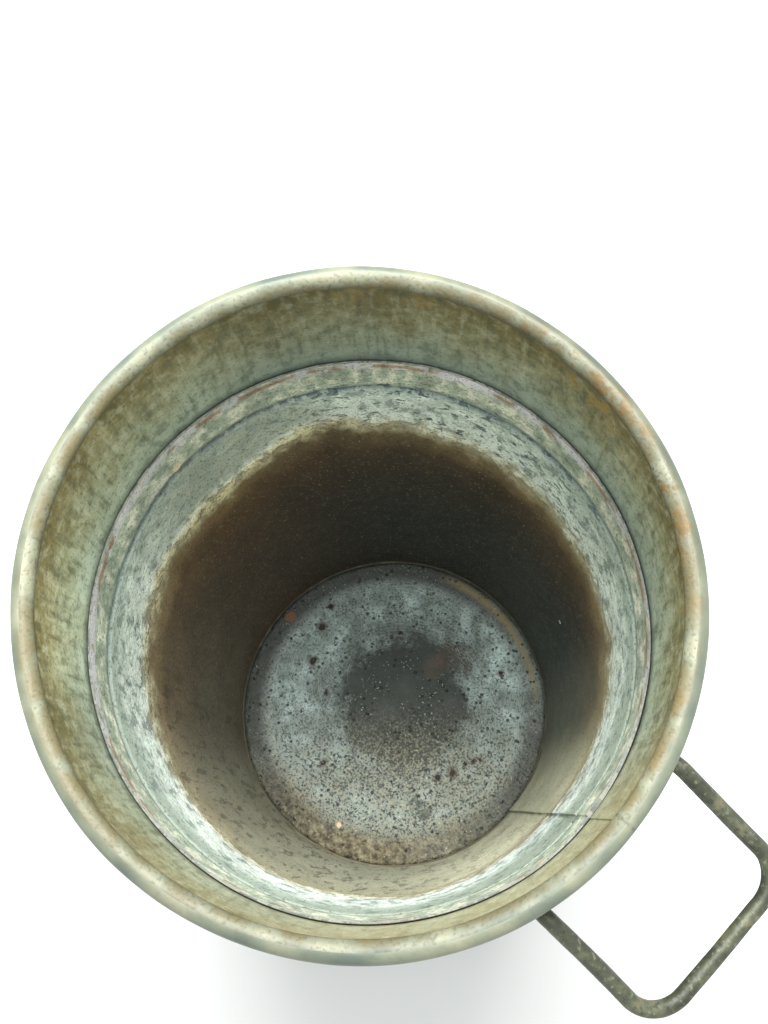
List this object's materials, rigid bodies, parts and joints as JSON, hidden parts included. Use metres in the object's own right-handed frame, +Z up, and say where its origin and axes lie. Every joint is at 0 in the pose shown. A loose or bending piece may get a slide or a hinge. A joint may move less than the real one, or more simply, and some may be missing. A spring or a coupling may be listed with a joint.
{
  "type": "feed scoop",
  "caption": "Tapered round sheet-metal feed scoop with a wired rim, a collar lapped over the body, a set-in bottom and a fixed side handle of bent wire.",
  "frame": {"origin": "the vessel's axis at the plane that the foot stands on", "axes": "+Z up along the vessel's axis, +X towards the handle"},
  "size_m": [0.195, 0.16, 0.216],
  "materials": {
    "body_sheet": "weathered galvanised sheet, white zinc bloom near the collar and brown feed stain below",
    "collar_sheet": "weathered galvanised sheet, dull olive-grey, pale worn bead",
    "bottom_sheet": "blue-grey worn zinc with a dark patch and rust pits",
    "clip_sheet": "weathered galvanised sheet",
    "wire": "dull oxidised galvanised wire",
    "solder": "dull grey tin-lead solder"
  },
  "bodies": {
    "root": {"body": "body_sheet", "collar": "collar_sheet", "rim_wire": "wire", "bottom_pan": "bottom_sheet", "handle_wire": "wire", "handle_clip_left": "clip_sheet", "handle_clip_right": "clip_sheet", "clip_solder_left": "solder", "clip_solder_right": "solder", "collar_solder": "solder", "bottom_solder": "solder", "body_seam_solder": "solder", "collar_seam_solder": "solder"}
  },
  "joints": []
}
